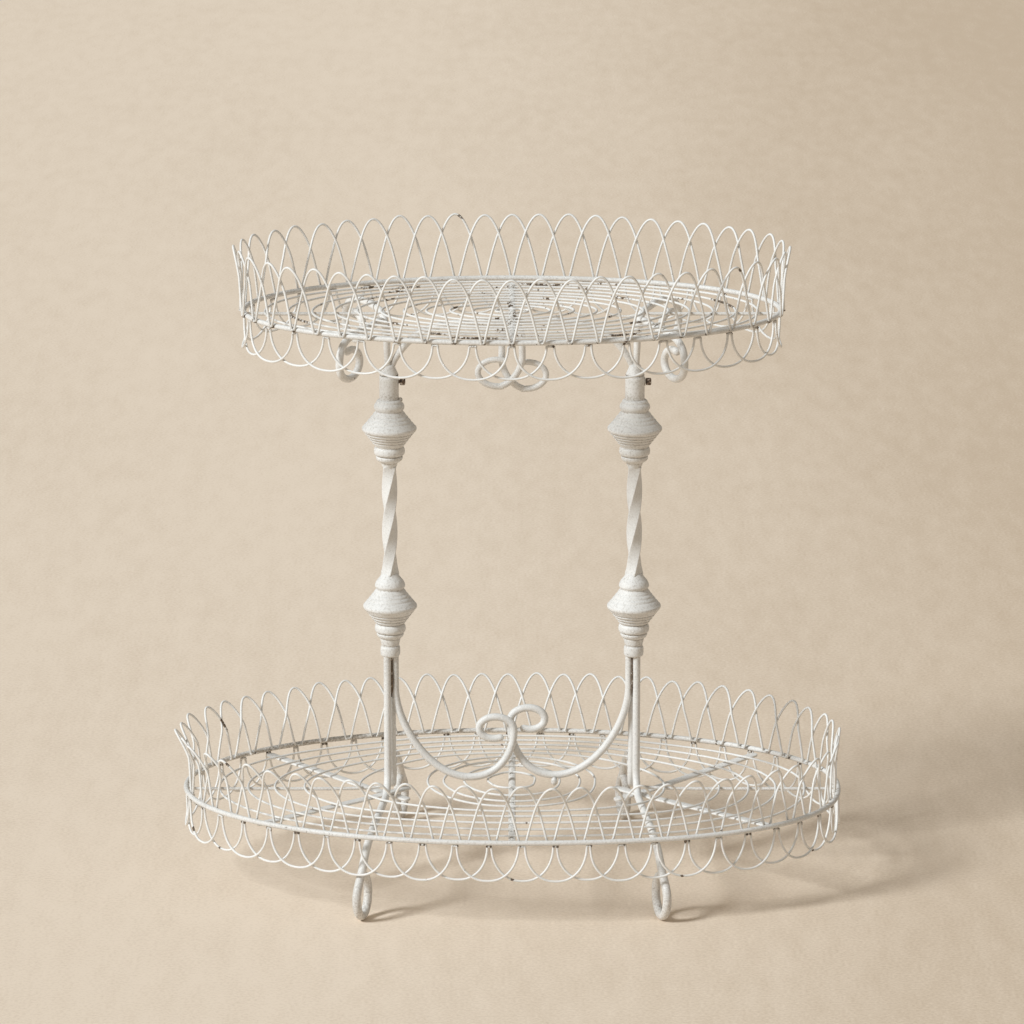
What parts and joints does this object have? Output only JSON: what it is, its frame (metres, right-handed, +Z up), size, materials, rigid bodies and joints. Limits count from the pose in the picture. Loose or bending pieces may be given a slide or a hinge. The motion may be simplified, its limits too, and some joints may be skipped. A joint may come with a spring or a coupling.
{
  "type": "tiered plant stand",
  "caption": "Tiered oval wirework plant stand with woven arch fences, scalloped edges, turned columns with twisted bars and curled rod feet; the upper tray lifts out",
  "frame": {"origin": "On the floor, below the middle of the stand", "axes": "+X to the right along the trays' long axis, +Y to the back, +Z up"},
  "size_m": [0.8136, 0.506, 0.7716],
  "materials": {
    "painted_wire": "chipped satin paint",
    "painted_rod": "chipped satin paint",
    "painted_casting": "chipped satin paint",
    "rusty_steel": "rusted"
  },
  "bodies": {
    "base": {"lower_rim": "painted_rod", "lower_arch_wire_outer": "painted_wire", "lower_arch_wire_inner": "painted_wire", "lower_scallop_wire_outer": "painted_wire", "lower_scallop_wire_inner": "painted_wire", "lower_floor_oval_1": "painted_wire", "lower_floor_oval_2": "painted_wire", "lower_floor_oval_3": "painted_wire", "lower_floor_oval_4": "painted_wire", "lower_floor_oval_5": "painted_wire", "lower_floor_oval_6": "painted_wire", "lower_floor_oval_7": "painted_wire", "lower_floor_oval_8": "painted_wire", "lower_floor_oval_9": "painted_wire", "lower_spine": "painted_rod", "lower_end_rod_left": "painted_rod", "lower_end_rod_right": "painted_rod", "lower_strap_left_front": "painted_rod", "lower_strap_left_back": "painted_rod", "lower_strap_right_front": "painted_rod", "lower_strap_right_back": "painted_rod", "leg_front_left": "painted_rod", "leg_front_right": "painted_rod", "leg_rear_left": "painted_rod", "leg_rear_right": "painted_rod", "lower_scroll_left": "painted_rod", "lower_scroll_right": "painted_rod", "foot_turning_left": "painted_casting", "foot_turning_right": "painted_casting", "twisted_bar_left": "painted_rod", "twisted_bar_right": "painted_rod", "head_turning_left": "painted_casting", "head_turning_right": "painted_casting"},
    "upper_tray": {"upper_rim": "painted_rod", "upper_arch_wire_outer": "painted_wire", "upper_arch_wire_inner": "painted_wire", "upper_scallop_wire_outer": "painted_wire", "upper_scallop_wire_inner": "painted_wire", "upper_floor_oval_1": "painted_wire", "upper_floor_oval_2": "painted_wire", "upper_floor_oval_3": "painted_wire", "upper_floor_oval_4": "painted_wire", "upper_floor_oval_5": "painted_wire", "upper_floor_oval_6": "painted_wire", "upper_floor_oval_7": "painted_wire", "upper_spine": "painted_rod", "upper_end_rod_left": "painted_rod", "upper_end_rod_right": "painted_rod", "bracket_front_left": "painted_rod", "bracket_front_right": "painted_rod", "bracket_rear_left": "painted_rod", "bracket_rear_right": "painted_rod", "upper_scroll_left": "painted_rod", "upper_scroll_right": "painted_rod", "plug_left": "painted_casting", "plug_right": "painted_casting"},
    "left_screw": {"set_screw_left": "rusty_steel"},
    "right_screw": {"set_screw_right": "rusty_steel"}
  },
  "joints": [
    {"name": "upper_tray_lift", "type": "slide", "parent": "base", "child": "upper_tray", "axis": [0, 0, 1], "range_m": [0, 0.045]},
    {"name": "left_screw_turn", "type": "hinge", "parent": "base", "child": "left_screw", "pos_m": [-0.146, 0, 0.6049], "axis": [1, 0, 0], "range_deg": [0, 360]},
    {"name": "right_screw_turn", "type": "hinge", "parent": "base", "child": "right_screw", "pos_m": [0.146, 0, 0.6049], "axis": [1, 0, 0], "range_deg": [0, 360]}
  ]
}
